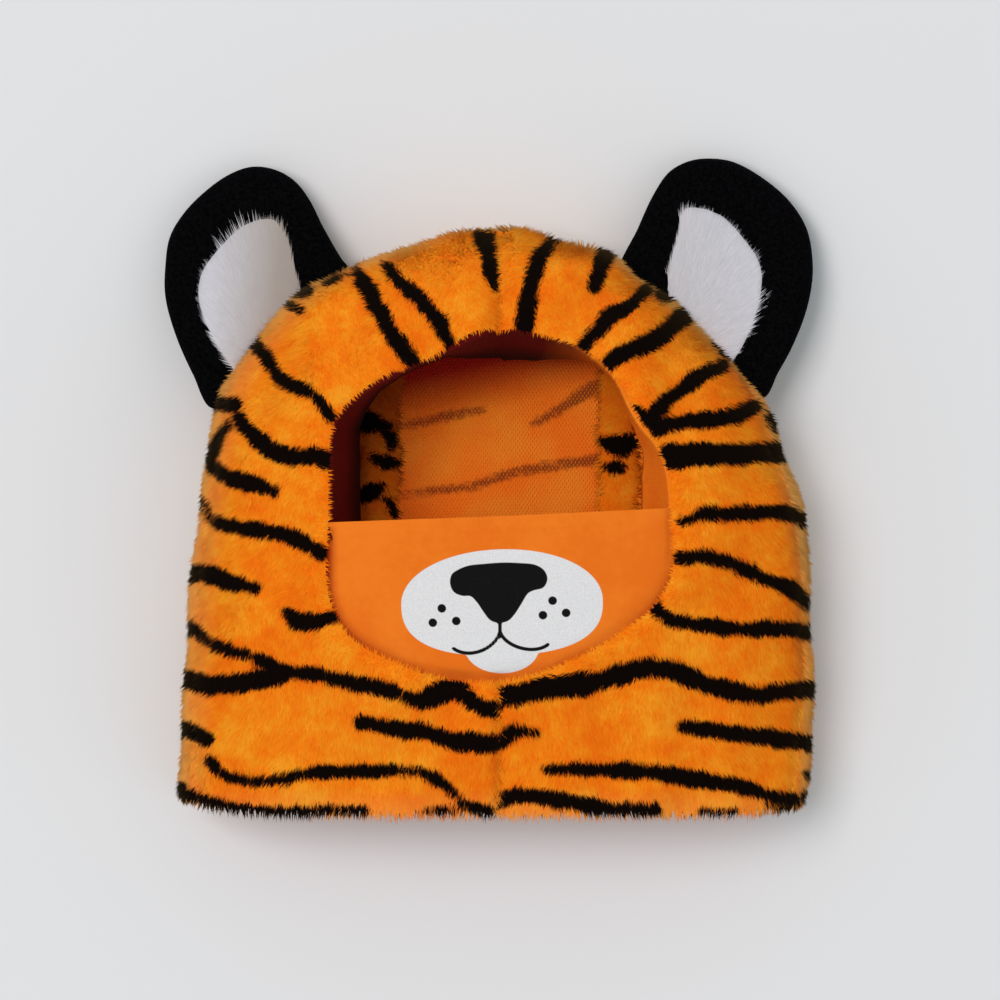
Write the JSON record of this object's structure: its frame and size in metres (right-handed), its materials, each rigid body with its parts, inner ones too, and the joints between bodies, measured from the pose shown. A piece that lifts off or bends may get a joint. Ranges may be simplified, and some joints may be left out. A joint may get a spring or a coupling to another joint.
{
  "type": "plush animal hood",
  "caption": "Child's plush balaclava hood with tiger stripes, padded velvet ears, an open face and a cloth panel with a printed muzzle, lying on its back.",
  "frame": {"origin": "middle of the whole outline seen from above, on the surface that the hood lies on", "axes": "+X to the wearer's left, +Y to the crown, +Z out of the face opening, away from the surface"},
  "size_m": [0.273, 0.279, 0.0774],
  "materials": {
    "orange_plush": "long-pile plush, matt",
    "back_plush": "long-pile plush, matt",
    "plush_allowance": "cut plush edge, matt",
    "orange_cloth": "smooth woven cloth, matt",
    "facing_cloth": "smooth woven cloth, matt",
    "black_velvet": "short-pile velvet",
    "white_plush": "long-pile plush, silky"
  },
  "bodies": {
    "root": {"front_panel_right": "orange_plush", "front_panel_left": "orange_plush", "back_panel_right": "back_plush", "back_panel_centre": "back_plush", "back_panel_left": "back_plush", "seam_allowance_right": "plush_allowance", "seam_allowance_left": "plush_allowance", "face_panel": "orange_cloth", "opening_facing": "facing_cloth", "ear_right": "black_velvet", "ear_inset_right": "white_plush", "ear_left": "black_velvet", "ear_inset_left": "white_plush"}
  },
  "joints": []
}
